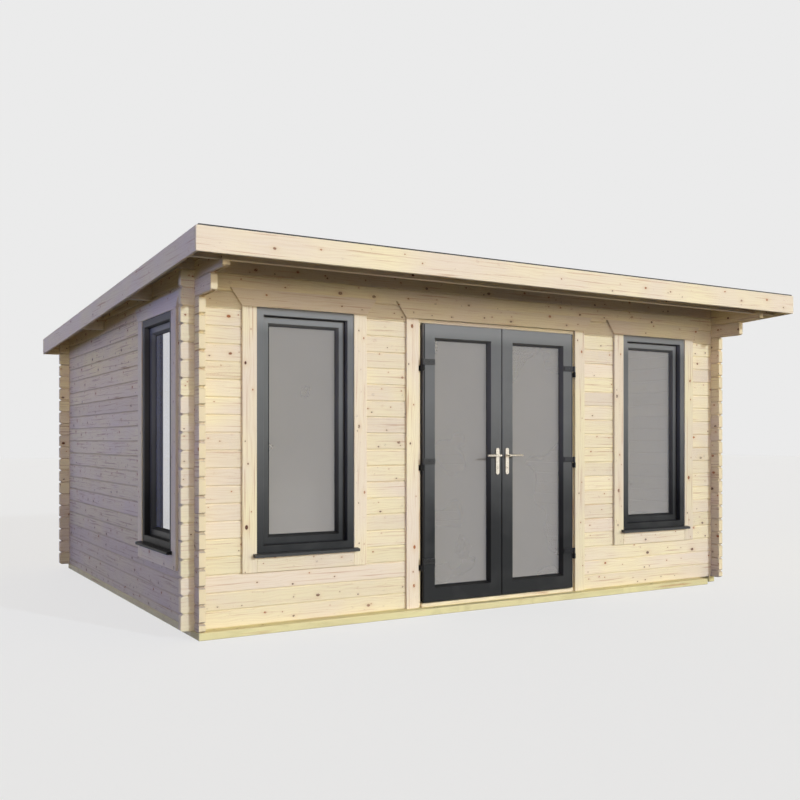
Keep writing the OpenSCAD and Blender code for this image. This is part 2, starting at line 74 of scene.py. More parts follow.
def lengthOf(tree, x, y):
    return calc(tree, "SQRT", calc(tree, "ADD", calc(tree, "MULTIPLY", x, x), calc(tree, "MULTIPLY", y, y)))


def bell(tree, value, width):
    part = calc(tree, "DIVIDE", value, width)
    squared = calc(tree, "MULTIPLY", part, part)
    return calc(tree, "EXPONENT", calc(tree, "MULTIPLY", squared, -1.0))


def blendColor(tree, amount, first, second, how="MIX"):
    node = tree.nodes.new("ShaderNodeMix")
    node.data_type = "RGBA"
    node.blend_type = how
    putIn(tree, node.inputs[0], amount)
    putIn(tree, node.inputs[6], first)
    putIn(tree, node.inputs[7], second)
    return node.outputs[2]


def remap(tree, value, low, high, toLow, toHigh, smooth=True):
    node = tree.nodes.new("ShaderNodeMapRange")
    node.interpolation_type = "SMOOTHSTEP" if smooth else "LINEAR"
    for index, item in enumerate((value, low, high, toLow, toHigh)):
        putIn(tree, node.inputs[index], item)
    return node.outputs[0]


def joinXyz(tree, x, y, z):
    node = tree.nodes.new("ShaderNodeCombineXYZ")
    for index, item in enumerate((x, y, z)):
        putIn(tree, node.inputs[index], item)
    return node.outputs[0]


def splitXyz(tree, vector):
    node = tree.nodes.new("ShaderNodeSeparateXYZ")
    tree.links.new(vector, node.inputs[0])
    return node.outputs


def objectSpot(tree):
    return tree.nodes.new("ShaderNodeTexCoord").outputs["Object"]


def readAttribute(tree, name):
    node = tree.nodes.new("ShaderNodeAttribute")
    node.attribute_name = name
    return splitXyz(tree, node.outputs["Vector"])


def noiseOf(tree, vector, scale, detail, roughness, distortion=0.0):
    node = tree.nodes.new("ShaderNodeTexNoise")
    putIn(tree, node.inputs["Vector"], vector)
    node.inputs["Scale"].default_value = scale
    node.inputs["Detail"].default_value = detail
    node.inputs["Roughness"].default_value = roughness
    node.inputs["Distortion"].default_value = distortion
    return node.outputs["Fac"]


def scatter(tree, x, y):
    node = tree.nodes.new("ShaderNodeTexWhiteNoise")
    node.noise_dimensions = "2D"
    putIn(tree, node.inputs["Vector"], joinXyz(tree, x, y, 0.0))
    parts = tree.nodes.new("ShaderNodeSeparateColor")
    tree.links.new(node.outputs["Color"], parts.inputs[0])
    return node.outputs["Value"], parts.outputs[0], parts.outputs[1], parts.outputs[2]


def newMaterial(name):
    material = bpy.data.materials.new(name)
    material.use_nodes = True
    tree = material.node_tree
    return material, tree, tree.nodes["Principled BSDF"]


def addBump(tree, shader, height, depth, strength):
    bump = tree.nodes.new("ShaderNodeBump")
    bump.inputs["Distance"].default_value = depth
    bump.inputs["Strength"].default_value = strength
    tree.links.new(height, bump.inputs["Height"])
    tree.links.new(bump.outputs["Normal"], shader.inputs["Normal"])


# One knot at most in each stretch of a stick, with a halo round it; some are rusty and some dark
knotShape = {
    "placeSpan": 0.5, "placeFrom": 0.25, "heightSpan": 0.7, "heightFrom": 0.15, "squeeze": 0.7,
    "core": 0.7, "blur": 0.0015, "haloWide": 2.6, "haloLeast": 0.001, "rustRange": (0.2, 0.65),
}


def knotsOf(tree, along, across, width, seed, start, look):
    stretch = calc(tree, "ADD", calc(tree, "DIVIDE", along, look["spacing"]), start)
    place, upward, growth, there = scatter(tree, calc(tree, "FLOOR", stretch), seed)
    centre = scaled(tree, place, knotShape["placeSpan"], knotShape["placeFrom"])
    knotX = scaled(tree, calc(tree, "SUBTRACT", calc(tree, "FRACT", stretch), centre), look["spacing"])
    rise = scaled(tree, upward, knotShape["heightSpan"], knotShape["heightFrom"])
    knotZ = calc(tree, "SUBTRACT", across, calc(tree, "MULTIPLY", width, rise))
    size = scaled(tree, calc(tree, "MULTIPLY", growth, growth), look["growth"], look["least"])
    size = calc(tree, "MULTIPLY", size, calc(tree, "GREATER_THAN", there, look["few"]))
    reach = lengthOf(tree, scaled(tree, knotX, knotShape["squeeze"]), knotZ)
    core = scaled(tree, size, knotShape["core"])
    knot = remap(tree, reach, core, calc(tree, "ADD", size, knotShape["blur"]), 1.0, 0.0)
    halo = bell(tree, reach, scaled(tree, size, knotShape["haloWide"], knotShape["haloLeast"]))
    rust = remap(tree, upward, *knotShape["rustRange"], 0.0, 1.0)
    return knot, halo, knotX, knotZ, rust


# Noises are scale, detail, roughness and distortion; ranges run from none to full, heights in metres
grainLook = {
    "seedMix": 3.7, "startSpread": 19.0, "pinSeed": 0.5, "haloDepth": 0.34,
    "bendAlong": 0.06, "bendAcross": 0.04, "bendDepth": -0.7, "flowSpread": 4.0,
    "sweepAlong": 0.8, "sweepSpread": 37.0, "sweepAcross": 9.0, "sweepThrough": 6.0,
    "wander": (1.0, 3.0, 0.5, 0.3), "ringWander": 26.0, "ringSharp": 2.2, "ringLeast": 0.12,
    "cloud": (2.3, 2.0, 0.5), "cloudRange": (0.3, 0.7),
    "driftAlong": 1.7, "driftSpread": 53.0,
    "streakAcross": 75.0, "streakThrough": 30.0, "streak": (1.0, 2.0, 0.5), "streakBand": 0.13,
    "fibreAlong": 9.0, "fibreAcross": 420.0, "fibreThrough": 300.0, "fibre": (1.0, 2.0, 0.6),
    "fibreRange": (0.45, 0.8), "fibreDepth": 0.22,
    "blushAcross": 3.0, "blush": (0.9, 2.0, 0.5), "blushSpread": 0.2, "blushRange": (0.42, 0.78),
    "footRange": (0.2, 1.2), "topRange": (1.2, 2.0),
    "endMiddle": 0.45, "endSpread": 0.06, "endWander": 0.006, "endRings": 1500.0, "endDepth": 0.55,
    "shine": 0.25, "ringRise": 0.5, "fibreRise": 0.8, "bumpStrength": 0.5,
}
# How a face is marked for the shader: saw-cut ends, eased edges, and the limits that tell them apart
faceMarks = {"sawn": 1.0, "eased": 0.25, "plain": 0.0, "sawnOver": 0.5, "easedOver": 0.1,
             "endLean": 0.8, "flatLean": 0.96}
noTint = (1, 1, 1, 1)


# Painted light: the timber is painted darker and cooler near the ground and paler and warmer under the roof,
# standing for how the light falls there
def paintedHeightLight(tree, color, look):
    height = splitXyz(tree, objectSpot(tree))["Z"]
    tint = blendColor(tree, remap(tree, height, *grainLook["footRange"], 0.0, 1.0), look["footPaintedShade"], noTint)
    tint = blendColor(tree, remap(tree, height, *grainLook["topRange"], 0.0, 1.0), tint, look["topPaintedLight"])
    return blendColor(tree, 1.0, color, tint, "MULTIPLY")


# Saw-cut ends show the year rings
def sawnEnd(tree, across, through, width, spread, wander, look):
    outX = calc(tree, "SUBTRACT", across, scaled(tree, width, grainLook["endMiddle"]))
    outZ = scaled(tree, spread, grainLook["endSpread"], through)
    radius = scaled(tree, wander, grainLook["endWander"], lengthOf(tree, outX, outZ))
    yearRing = wave(tree, scaled(tree, radius, grainLook["endRings"]))
    return blendColor(tree, scaled(tree, yearRing, grainLook["endDepth"]), look["endPale"], look["endDark"])


# Softwood, read along, across and through each stick of timber by its grain attribute
def makeTimber(name, look):
    material, tree, shader = newMaterial(name)
    along, across, through = readAttribute(tree, "grain")
    seed, width, faceMark = readAttribute(tree, "stick")
    shade, tintA, tintB, tintC = scatter(tree, seed, grainLook["seedMix"])

    start = scaled(tree, shade, grainLook["startSpread"])
    knot, halo, knotX, knotZ, rust = knotsOf(tree, along, across, width, seed, start, look["knots"])
    pinSeed = calc(tree, "ADD", seed, grainLook["pinSeed"])
    pin, pinHalo, _, _, pinRust = knotsOf(tree, along, across, width, pinSeed, start, look["pins"])

    # the grain runs round the knot
    nearX = bell(tree, knotX, grainLook["bendAlong"])
    nearZ = bell(tree, knotZ, grainLook["bendAcross"])
    near = calc(tree, "MULTIPLY", nearX, nearZ)
    push = scaled(tree, calc(tree, "MULTIPLY", near, knotZ), grainLook["bendDepth"])
    flow = calc(tree, "ADD", calc(tree, "ADD", across, push), scaled(tree, tintB, grainLook["flowSpread"]))
    sweepX = scaled(tree, along, grainLook["sweepAlong"], scaled(tree, tintA, grainLook["sweepSpread"]))
    sweep = joinXyz(tree, sweepX, scaled(tree, flow, grainLook["sweepAcross"]),
                    scaled(tree, through, grainLook["sweepThrough"]))
    wander = noiseOf(tree, sweep, *grainLook["wander"])
    phase = scaled(tree, flow, look["ringRate"], scaled(tree, wander, grainLook["ringWander"]))
    ring = calc(tree, "POWER", wave(tree, phase), grainLook["ringSharp"])
    drift = scaled(tree, along, grainLook["driftAlong"], scaled(tree, tintC, grainLook["driftSpread"]))
    streakRun = joinXyz(tree, drift, scaled(tree, across, grainLook["streakAcross"]),
                        scaled(tree, through, grainLook["streakThrough"]))
    streak = noiseOf(tree, streakRun, *grainLook["streak"])
    fibreRun = joinXyz(tree, scaled(tree, along, grainLook["fibreAlong"]),
                       scaled(tree, flow, grainLook["fibreAcross"]),
                       scaled(tree, through, grainLook["fibreThrough"]))
    fibre = noiseOf(tree, fibreRun, *grainLook["fibre"])
    cloud = noiseOf(tree, sweep, *grainLook["cloud"])
    blushRun = joinXyz(tree, drift, scaled(tree, flow, grainLook["blushAcross"]), tintB)
    blush = noiseOf(tree, blushRun, *grainLook["blush"])
    blush = scaled(tree, tintC, grainLook["blushSpread"], blush)
    blush = remap(tree, blush, *grainLook["blushRange"], 0.0, 1.0)

    color = blendColor(tree, blush, look["pale"], look["warm"])
    ringDepth = remap(tree, cloud, *grainLook["cloudRange"], grainLook["ringLeast"], look["ringDepth"])
    color = blendColor(tree, calc(tree, "MULTIPLY", ring, ringDepth), color, look["late"])
    fibreDepth = remap(tree, fibre, *grainLook["fibreRange"], 0.0, grainLook["fibreDepth"])
    color = blendColor(tree, fibreDepth, color, look["late"])
    streakFull = look["streakFrom"] + grainLook["streakBand"]
    streakDepth = remap(tree, streak, look["streakFrom"], streakFull, 0.0, look["streakDepth"])
    color = blendColor(tree, streakDepth, color, look["streak"])
    for spot, around, rusty in ((knot, halo, rust), (pin, pinHalo, pinRust)):
        color = blendColor(tree, scaled(tree, around, grainLook["haloDepth"]), color, look["halo"])
        color = blendColor(tree, spot, color, blendColor(tree, rusty, look["darkKnot"], look["rustKnot"]))
    tone = remap(tree, shade, 0.0, 1.0, look["toneLow"], look["toneHigh"], False)
    color = blendColor(tree, 1.0, color, joinXyz(tree, tone, tone, tone), "MULTIPLY")
    # Painted shade near the ground and painted light under the roof
    color = paintedHeightLight(tree, color, look)

    isEnd = calc(tree, "GREATER_THAN", faceMark, faceMarks["sawnOver"])
    color = blendColor(tree, isEnd, color, sawnEnd(tree, across, through, width, tintA, wander, look))
    # Eased faces get a painted tone: on plain pine a paler colour, painted light that lifts the shade in the
    # log joints; on knotty logs a darker colour, dirt and painted shade in the joints
    isEased = calc(tree, "SUBTRACT", calc(tree, "GREATER_THAN", faceMark, faceMarks["easedOver"]), isEnd)
    color = blendColor(tree, scaled(tree, isEased, look["grooveDirtAndPaintedLight"]), color, look["groove"])

    tree.links.new(color, shader.inputs["Base Color"])
    shader.inputs["Roughness"].default_value = look["roughness"]
    shader.inputs["Specular IOR Level"].default_value = grainLook["shine"]
    height = scaled(tree, ring, grainLook["ringRise"], scaled(tree, fibre, grainLook["fibreRise"]))
    addBump(tree, shader, height, look["bump"], grainLook["bumpStrength"])
    return material


pineLook = {
    "pale": (0.90, 0.795, 0.54, 1), "warm": (0.83, 0.71, 0.585, 1), "late": (0.70, 0.53, 0.35, 1),
    "halo": (0.66, 0.45, 0.25, 1), "darkKnot": (0.12, 0.035, 0.016, 1), "rustKnot": (0.42, 0.13, 0.035, 1),
    "streak": (0.52, 0.26, 0.12, 1), "streakDepth": 0.65, "streakFrom": 0.59,
    "endPale": (0.86, 0.74, 0.50, 1), "endDark": (0.72, 0.56, 0.35, 1),
    "knots": {"spacing": 0.27, "growth": 0.009, "least": 0.0038, "few": 0.5},
    "pins": {"spacing": 0.17, "growth": 0.0025, "least": 0.0024, "few": 0.62},
    "ringRate": 330.0, "ringDepth": 0.34, "toneLow": 0.92, "toneHigh": 1.04,
    # Paler groove colour: painted light on the eased faces
    "groove": (0.97, 0.87, 0.62, 1), "grooveDirtAndPaintedLight": 0.15, "footPaintedShade": noTint, "topPaintedLight": noTint,
    "roughness": 0.62, "bump": 0.0008,
}
bearerLook = dict(
    pineLook, pale=(0.86, 0.78, 0.43, 1), warm=(0.80, 0.71, 0.40, 1), late=(0.55, 0.47, 0.21, 1),
    halo=(0.50, 0.38, 0.16, 1), endPale=(0.72, 0.64, 0.33, 1), endDark=(0.52, 0.44, 0.2, 1),
    roughness=0.8, bump=0.0016)
knottyLook = dict(
    pineLook, knots=dict(pineLook["knots"], spacing=0.2, few=0.2),
    streak=(0.42, 0.22, 0.12, 1), streakDepth=0.75, streakFrom=0.57,
    # Darker grooves are dirt and painted shade; the foot and top tints are painted shade and painted light
    groove=(0.45, 0.33, 0.22, 1), grooveDirtAndPaintedLight=0.22, footPaintedShade=(0.77, 0.76, 0.8, 1), topPaintedLight=(1.1, 1.07, 0.9, 1))
# Painted shade: the roof boards are a darker copy of the pine, standing for the shade under the eaves
paintedShadeRoofLook = dict(pineLook, toneLow=0.7, toneHigh=0.82)
pine = makeTimber("planedPine", pineLook)
knottyPine = makeTimber("knottyPine", knottyLook)
bearerTimber = makeTimber("treatedBearer", bearerLook)
roofPine = makeTimber("roofPine", paintedShadeRoofLook)


# Foiled plastic with a fine grain and a little cloudy. Painted sheen: paler from the ground up, standing for
# the sky's reflection, and painted light at the heads, palest where the eaves' shade falls
foilLook = {
    "grain": (900.0, 2.0, 0.6), "cloud": (3.0, 3.0, 0.5), "noiseRange": (0.3, 0.7), "haze": 0.08,
    "paintedSheenRange": (0.4, 1.7), "headPaintedLightRange": (1.95, 2.06), "headPaintedLightLift": 1.6,
    "roughSpread": 0.06, "bump": 0.0003, "bumpStrength": 0.35, "lift": 1.35, "shine": 0.22,
}


def brighter(color, factor):
    return tuple(channel * factor for channel in color[:3]) + (1,)


def makeFoil(name, color, roughness, lift=foilLook["lift"], shine=foilLook["shine"]):
    material, tree, shader = newMaterial(name)
    spot = objectSpot(tree)
    height = splitXyz(tree, spot)["Z"]
    grain = noiseOf(tree, spot, *foilLook["grain"])
    cloud = noiseOf(tree, spot, *foilLook["cloud"])
    haze = remap(tree, cloud, *foilLook["noiseRange"], -foilLook["haze"], foilLook["haze"])
    # Painted sheen: the colour pales towards the top, as the bright sky's reflection would
    pale = calc(tree, "ADD", remap(tree, height, *foilLook["paintedSheenRange"], 0.0, 1.0), haze, True)
    paintedSheenColor = brighter(color, lift)
    body = blendColor(tree, pale, color, paintedSheenColor)
    # Painted light: the heads are painted palest, where the eaves' shade falls on them
    head = remap(tree, height, *foilLook["headPaintedLightRange"], 0.0, 1.0)
    headPaintedLightColor = brighter(paintedSheenColor, foilLook["headPaintedLightLift"])
    tree.links.new(blendColor(tree, head, body, headPaintedLightColor), shader.inputs["Base Color"])
    smooth, rough = roughness - foilLook["roughSpread"], roughness + foilLook["roughSpread"]
    tree.links.new(remap(tree, grain, *foilLook["noiseRange"], smooth, rough), shader.inputs["Roughness"])
    shader.inputs["Specular IOR Level"].default_value = shine
    addBump(tree, shader, grain, foilLook["bump"], foilLook["bumpStrength"])
    return material


# Each foil's lift sets how much paler its painted sheen makes the top than the foot
framePlastic = makeFoil("anthraciteFoil", (0.014, 0.014, 0.014, 1), 0.42, 9.8)
# Black for real seals and for painted shade: the door strips, the key slots and partly the ring round each
# sash
sealAndPaintedShadeBlack = makeFoil("sealAndShadeBlack", (0.012, 0.012, 0.013, 1), 0.6)
# Painted shade: a darker copy of the frame foil for the side window's frame and sill, which stand in shade
paintedShadeSidePlastic = makeFoil("paintedShadeFoil", (0.006, 0.006, 0.006, 1), 0.42, 13.0, 0.1)
# Painted light: a paler copy of the frame foil for the front sills, standing for the light on their tops
paintedLightSillPlastic = makeFoil("sillFoil", (0.055, 0.055, 0.055, 1), 0.42, 1.2)
hingeMetal = makeFoil("blackHinge", (0.024, 0.024, 0.025, 1), 0.3, 3.0)
pinMetal = makeFoil("blackPin", (0.012, 0.012, 0.012, 1), 0.3, 1.1)

handleFinish = {"dark": (0.78, 0.69, 0.56, 1), "light": (0.87, 0.79, 0.66, 1), "metallic": 0.9,
                "brush": (260.0, 2.0, 0.5), "brushRange": (0.3, 0.7), "roughness": (0.2, 0.32)}


def makeHandleMetal():
    material, tree, shader = newMaterial("satinHandle")
    brushed = noiseOf(tree, objectSpot(tree), *handleFinish["brush"])
    color = blendColor(tree, brushed, handleFinish["dark"], handleFinish["light"])
    tree.links.new(color, shader.inputs["Base Color"])
    roughness = remap(tree, brushed, *handleFinish["brushRange"], *handleFinish["roughness"])
    tree.links.new(roughness, shader.inputs["Roughness"])
    shader.inputs["Metallic"].default_value = handleFinish["metallic"]
    return material


# The side pane mirrors more than the front ones, which show the room behind them. Painted reflection: the
# grey base of the front panes and the white base of the side pane stand for reflected light, under a coat,
# and on the side a metallic mirror, that reflect for real
frontGlazing = {"dull": (0.47, 0.452, 0.44, 1), "clear": (0.525, 0.502, 0.488, 1), "film": (2.0, 2.0, 0.5),
                "alpha": 0.45, "mirror": 0.0, "coatIor": 1.5, "roughness": 0.04}
paintedReflectionSideGlazing = dict(frontGlazing, dull=(0.76, 0.76, 0.76, 1), clear=(0.84, 0.84, 0.83, 1),
                   alpha=0.9, mirror=0.7, coatIor=2.2)


def makeGlass(name, look):
    material, tree, shader = newMaterial(name)
    film = noiseOf(tree, objectSpot(tree), *look["film"])
    # Painted reflection: the pale base stands for light reflected by the glass
    tree.links.new(blendColor(tree, film, look["dull"], look["clear"]), shader.inputs["Base Color"])
    shader.inputs["Roughness"].default_value = look["roughness"]
    shader.inputs["Coat Weight"].default_value = 1.0
    shader.inputs["Coat IOR"].default_value = look["coatIor"]
    shader.inputs["Metallic"].default_value = look["mirror"]
    shader.inputs["Alpha"].default_value = look["alpha"]
    return material


feltFinish = {"grit": (700.0, 2.0, 0.7), "dark": (0.022, 0.023, 0.025, 1), "light": (0.095, 0.098, 0.1, 1),
              "patch": (1.6, 4.0, 0.6), "patchRange": (0.38, 0.68), "patchDepth": 0.5,
              "patchColor": (0.115, 0.113, 0.108, 1), "roughness": 0.92, "bump": 0.0012, "bumpStrength": 0.7}


def makeFelt():
    material, tree, shader = newMaterial("mineralFelt")
    spot = objectSpot(tree)
    grit = noiseOf(tree, spot, *feltFinish["grit"])
    patch = noiseOf(tree, spot, *feltFinish["patch"])
    worn = remap(tree, patch, *feltFinish["patchRange"], 0.0, feltFinish["patchDepth"])
    color = blendColor(tree, grit, feltFinish["dark"], feltFinish["light"])
    tree.links.new(blendColor(tree, worn, color, feltFinish["patchColor"]), shader.inputs["Base Color"])
    shader.inputs["Roughness"].default_value = feltFinish["roughness"]
    addBump(tree, shader, grit, feltFinish["bump"], feltFinish["bumpStrength"])
    return material


handleMetal = makeHandleMetal()
glass = makeGlass("doubleGlazing", frontGlazing)
paintedReflectionSideGlass = makeGlass("paintedReflectionSideGlazing", paintedReflectionSideGlazing)
felt = makeFelt()
print("materials made")


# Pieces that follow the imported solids: merged, eased edges, and a grain direction for each stick
def linkMesh(name, mesh, material, body, *stoodFor):
    mesh.materials.clear()
    mesh.materials.append(material)
    piece = bpy.data.objects.new(name, mesh)
    bpy.context.scene.collection.objects.link(piece)
    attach(piece, body)
    if stoodFor:
        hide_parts(*stoodFor)
    return piece


easing = {"merge": 1e-5, "flatAngle": 0.005, "sliver": 2e-5, "woodAngle": 0.3, "metalAngle": 0.6}


def easeEdges(shape, width, sharpAngle):
    bmesh.ops.remove_doubles(shape, verts=shape.verts, dist=easing["merge"])
    bmesh.ops.dissolve_limit(shape, angle_limit=easing["flatAngle"], verts=shape.verts, edges=shape.edges)
    inner = [edge for edge in shape.edges if len(edge.link_faces) == 2]
    sharp = [edge for edge in inner if edge.calc_face_angle() > sharpAngle]
    bmesh.ops.bevel(shape, geom=sharp, offset=width, segments=1, profile=0.5, affect="EDGES",
                    clamp_overlap=True)
    bmesh.ops.dissolve_degenerate(shape, dist=easing["sliver"], edges=shape.edges)


# Groups of joined vertices, in vertex order so that the seeds fall the same way each time
def islandsOf(shape):
    seen = set()
    for first in shape.verts:
        if first in seen:
            continue
        seen.add(first)
        group = [first]
        for vert in group:
            for edge in vert.link_edges:
                other = edge.other_vert(vert)
                if other not in seen:
                    seen.add(other)
                    group.append(other)
        yield group


def reachOf(group):
    low = Vector([min(vert.co[axis] for vert in group) for axis in range(3)])
    high = Vector([max(vert.co[axis] for vert in group) for axis in range(3)])
    return low, high


# grain holds metres along, across and through a stick; stick holds its seed, its width and the face's mark
def setGrain(shape, seed):
    chance = random.Random(seed)
    grainLayer = shape.loops.layers.float_vector.new("grain")
    stickLayer = shape.loops.layers.float_vector.new("stick")
    for group in list(islandsOf(shape)):
        low, high = reachOf(group)
        order = sorted(range(3), key=lambda axis: low[axis] - high[axis])
        stickSeed = chance.randint(1, 9000)
        width = high[order[1]] - low[order[1]]
        for face in {face for vert in group for face in vert.link_faces}:
            mark = faceMarks["plain"]
            if max(abs(part) for part in face.normal) < faceMarks["flatLean"]:
                mark = faceMarks["eased"]
            elif abs(face.normal[order[0]]) > faceMarks["endLean"]:
                mark = faceMarks["sawn"]
            for loop in face.loops:
                spot = loop.vert.co - low
                loop[grainLayer] = (spot[order[0]], spot[order[1]], spot[order[2]])
                loop[stickLayer] = (stickSeed, width, mark)


def solidBoxes(node):
    shape = bmesh.new()
    shape.from_mesh(nodes[node].data)
    bmesh.ops.remove_doubles(shape, verts=shape.verts, dist=easing["merge"])
    boxes = [reachOf(group) for group in islandsOf(shape)]
    shape.free()
    return boxes


def woodName(node):
    first, *others = node.split("_")
    return first + "".join(word.capitalize() for word in others) + "Wood"


def timberPiece(node, material, ease, seed):
    shape = bmesh.new()
    shape.from_mesh(nodes[node].data)
    easeEdges(shape, ease, easing["woodAngle"])
    shape.normal_update()
    setGrain(shape, seed)
    mesh = bpy.data.meshes.new(woodName(node))
    shape.to_mesh(mesh)
    shape.free()
    linkMesh(woodName(node), mesh, material, "cabin", node)


def easedPiece(node, name, material, ease, body, smooth=False):
    shape = bmesh.new()
    shape.from_mesh(nodes[node].data)
    easeEdges(shape, ease, easing["metalAngle"])
    mesh = bpy.data.meshes.new(name)
    shape.to_mesh(mesh)
    shape.free()
    if smooth:
        mesh.shade_smooth()
        mesh.set_sharp_from_angle(angle=easing["metalAngle"])
    linkMesh(name, mesh, material, body, node)


timber = {"logEase": 0.0012, "boardEase": 0.0025, "bearerEase": 0.004,
          "logSeed": 11, "trimSeed": 51, "bearerSeed": 91, "liningSeed": 131}
walls = ("front", "back", "left", "right")
wallNodes = [f"{wall}_wall_{course}_logs" for wall in walls for course in ("odd", "even")]
trimNodes = ["left_window_trim", "right_window_trim", "side_window_trim", "door_trim", "door_threshold",
             "front_fascia", "back_fascia", "left_fascia", "right_fascia", "roof_purlins"]
bearerNodes = ["front_bearer", "back_bearer", "left_bearer", "right_bearer", "floor_joists"]
for number, node in enumerate(wallNodes):
    logPine = pine if node.startswith("front") else knottyPine
    timberPiece(node, logPine, timber["logEase"], timber["logSeed"] + number)
for number, node in enumerate(trimNodes):
    timberPiece(node, pine, timber["boardEase"], timber["trimSeed"] + number)
for number, node in enumerate(bearerNodes):
    timberPiece(node, bearerTimber, timber["bearerEase"], timber["bearerSeed"] + number)
print("timber pieces made")


# Geometry nodes: a tree with named inputs, which sets one shape on each point, makes it real and paints it
def startTree(name, inputs):
    tree = bpy.data.node_groups.new(name, "GeometryNodeTree")
    tree.interface.new_socket("Geometry", in_out="INPUT", socket_type="NodeSocketGeometry")
    for label, kind in inputs.items():
        tree.interface.new_socket(label, in_out="INPUT", socket_type="NodeSocket" + kind)
    tree.interface.new_socket("Geometry", in_out="OUTPUT", socket_type="NodeSocketGeometry")
    return tree, tree.nodes.new("NodeGroupInput")


def endTree(tree, put, points, shape):
    place = tree.nodes.new("GeometryNodeInstanceOnPoints")
    real = tree.nodes.new("GeometryNodeRealizeInstances")
    paint = tree.nodes.new("GeometryNodeSetMaterial")
    out = tree.nodes.new("NodeGroupOutput")
    join = tree.links.new
    join(points, place.inputs["Points"])
    join(shape, place.inputs["Instance"])
    join(place.outputs["Instances"], real.inputs["Geometry"])
    join(real.outputs["Geometry"], paint.inputs["Geometry"])
    join(put.outputs["Finish"], paint.inputs["Material"])
    join(paint.outputs["Geometry"], out.inputs["Geometry"])
    return place


# A row of boards from a start point, one step apart
def boardRowTree():
    inputs = {"Boards": "Int", "Start": "Vector", "Step": "Vector", "Board size": "Vector",
              "Finish": "Material"}
    tree, put = startTree("boardRow", inputs)
    line = tree.nodes.new("GeometryNodeMeshLine")
    board = tree.nodes.new("GeometryNodeMeshCube")
    tree.links.new(put.outputs["Boards"], line.inputs["Count"])
    tree.links.new(put.outputs["Start"], line.inputs["Start Location"])
    tree.links.new(put.outputs["Step"], line.inputs["Offset"])
    tree.links.new(put.outputs["Board size"], board.inputs["Size"])
    endTree(tree, put, line.outputs["Mesh"], board.outputs["Mesh"])
    return tree


# Round heads of nails and screws, one at each point of a mesh
studShape = {"sides": 14, "narrow": 0.75}


def studSetTree():
    inputs = {"Head radius": "Float", "Head height": "Float", "Turn": "Rotation", "Finish": "Material"}
    tree, put = startTree("studSet", inputs)
    head = tree.nodes.new("GeometryNodeMeshCone")
    head.inputs["Vertices"].default_value = studShape["sides"]
    narrow = calc(tree, "MULTIPLY", put.outputs["Head radius"], studShape["narrow"])
    tree.links.new(put.outputs["Head radius"], head.inputs["Radius Bottom"])
    tree.links.new(narrow, head.inputs["Radius Top"])
    tree.links.new(put.outputs["Head height"], head.inputs["Depth"])
    place = endTree(tree, put, put.outputs["Geometry"], head.outputs["Mesh"])
    tree.links.new(put.outputs["Turn"], place.inputs["Rotation"])
    return tree


boardRow = boardRowTree()
studSet = studSetTree()


def grownMesh(name, group, values, points=()):
    seedMesh = bpy.data.meshes.new(name + "Seed")
    seedMesh.from_pydata(points, [], [])
    holder = bpy.data.objects.new(name + "Seed", seedMesh)
    bpy.context.scene.collection.objects.link(holder)
    modifier = holder.modifiers.new("grow", "NODES")
    modifier.node_group = group
    for item in group.interface.items_tree:
        if item.in_out == "INPUT" and item.name in values:
            modifier[item.identifier] = values[item.name]
    bpy.context.view_layer.update()
    ready = holder.evaluated_get(bpy.context.evaluated_depsgraph_get())
    mesh = bpy.data.meshes.new_from_object(ready)
    bpy.data.objects.remove(holder)
    mesh.name = name
    return mesh


def growStuds(name, body, look, points, finish, turn=(0, 0, 0)):
    heads = {"Head radius": look["radius"], "Head height": look["height"], "Turn": turn, "Finish": finish}
    linkMesh(name, grownMesh(name, studSet, heads, points), finish, body)


# Boards fill a box of the frame, side by side over one axis; on a slope, lift gives their middle at each y
def boardField(name, node, wood, look, over, lift=None):
    low, high = (Vector(corner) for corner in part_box(node))
    pitch = (high[over] - low[over]) / look["count"]
    size = high - low
    size[over] = pitch - look["gap"]
    start = (low + high) / 2
    start[over] = low[over] + pitch / 2
    if lift:
        size.z = look["thick"]
        start.z = 0
    step = Vector((0, 0, 0))
    step[over] = pitch
    row = {"Boards": look["count"], "Start": start, "Step": step, "Board size": size, "Finish": wood}
    mesh = grownMesh(name, boardRow, row)
    shape = bmesh.new()
    shape.from_mesh(mesh)
    easeEdges(shape, look["ease"], easing["woodAngle"])
    shape.normal_update()
    setGrain(shape, look["seed"])
    if lift:
        for vert in shape.verts:
            vert.co.z += lift(vert.co.y)
    shape.to_mesh(mesh)
    shape.free()
    linkMesh(name, mesh, wood, "cabin", node)


floorLook = {"count": 32, "gap": 0.001, "ease": 0.002, "seed": 150}
boardLook = {"count": 44, "gap": 0.0015, "ease": 0.004, "seed": 160, "thick": 0.019}
roofLow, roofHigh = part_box("roof_boards")
roofSlope = (roofHigh[2] - roofLow[2] - boardLook["thick"]) / (roofHigh[1] - roofLow[1])


def roofBoardMiddle(y):
    return roofHigh[2] - boardLook["thick"] / 2 - roofSlope * (y - roofLow[1])


boardField("floorBoards", "floor_boards", pine, floorLook, 1)
boardField("roofBoards", "roof_boards", roofPine, boardLook, 0, roofBoardMiddle)


# Felt in sheets, with laps and a row of clout nails along each; heights follow the felt's top
feltLook = {"ease": 0.001, "sheets": 5, "lapWide": 0.09, "lapThick": 0.005, "sideIn": 0.004,
            "nailStep": 0.15, "nailIn": 0.02, "nailSunk": 0.001, "nail": {"radius": 0.006, "height": 0.003}}
feltLow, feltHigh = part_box("roof_felt")


def feltTop(y):
    return feltHigh[2] - roofSlope * (y - feltLow[1])


